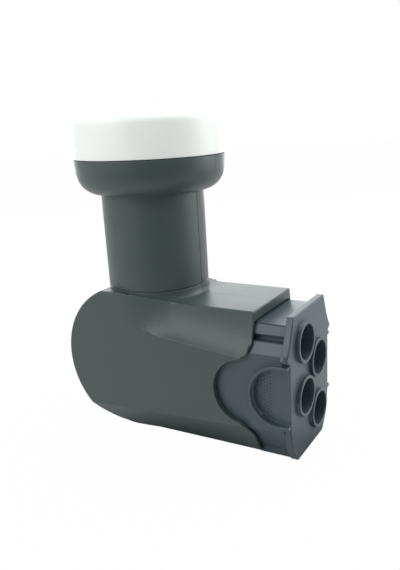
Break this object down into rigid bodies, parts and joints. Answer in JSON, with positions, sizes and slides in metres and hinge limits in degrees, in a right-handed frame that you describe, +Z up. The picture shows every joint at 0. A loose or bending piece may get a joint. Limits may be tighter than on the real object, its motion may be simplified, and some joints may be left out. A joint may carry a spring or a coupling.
{
  "type": "satellite lnb",
  "caption": "Satellite low noise block with a round clamp neck, white cap over the horn, rounded housing and sliding weather cover with sleeves round its cable sockets.",
  "frame": {"origin": "middle of the clamp neck, on its axis", "axes": "+Z up the neck toward the cap, +X toward the sockets, -Y toward the near flank of the picture"},
  "size_m": [0.0984, 0.0582, 0.1283],
  "materials": {
    "housing_plastic": "satin moulded",
    "cover_plastic": "satin moulded",
    "cap_plastic": "satin moulded",
    "rubber": "soft",
    "cast_metal": "as cast",
    "steel": "zinc plated",
    "board": "coated laminate",
    "contact_metal": "plated wire",
    "white_plastic": "turned",
    "ceramic": "ground",
    "tin_sheet": "tinned",
    "chip_plastic": "moulded",
    "nickel": "nickel plated"
  },
  "bodies": {
    "root": {"shell_near": "housing_plastic", "shell_far": "housing_plastic", "horn_cap": "cap_plastic", "cap_seal": "rubber", "feed_casting": "cast_metal", "casting_lid": "cast_metal", "lid_gasket": "rubber", "lid_screws": "steel", "circuit_board": "board", "board_screws": "steel", "probe_straight": "contact_metal", "probe_bent": "contact_metal", "probe_bushes": "white_plastic", "f_socket_1": "nickel", "socket_insulator_1": "white_plastic", "socket_contact_1": "contact_metal", "f_socket_2": "nickel", "socket_insulator_2": "white_plastic", "socket_contact_2": "contact_metal", "f_socket_3": "nickel", "socket_insulator_3": "white_plastic", "socket_contact_3": "contact_metal", "f_socket_4": "nickel", "socket_insulator_4": "white_plastic", "socket_contact_4": "contact_metal", "socket_seals": "rubber", "dielectric_resonators": "ceramic", "tuning_screws": "steel", "oscillator_screen": "tin_sheet", "amplifier_transistors": "chip_plastic", "switch_chip": "chip_plastic", "voltage_regulator": "chip_plastic"},
    "cover": {"weather_cover": "cover_plastic"}
  },
  "joints": [
    {"name": "cover_slide", "type": "slide", "parent": "root", "child": "cover", "axis": [1, 0, 0], "range_m": [-0.0114, 0]}
  ]
}
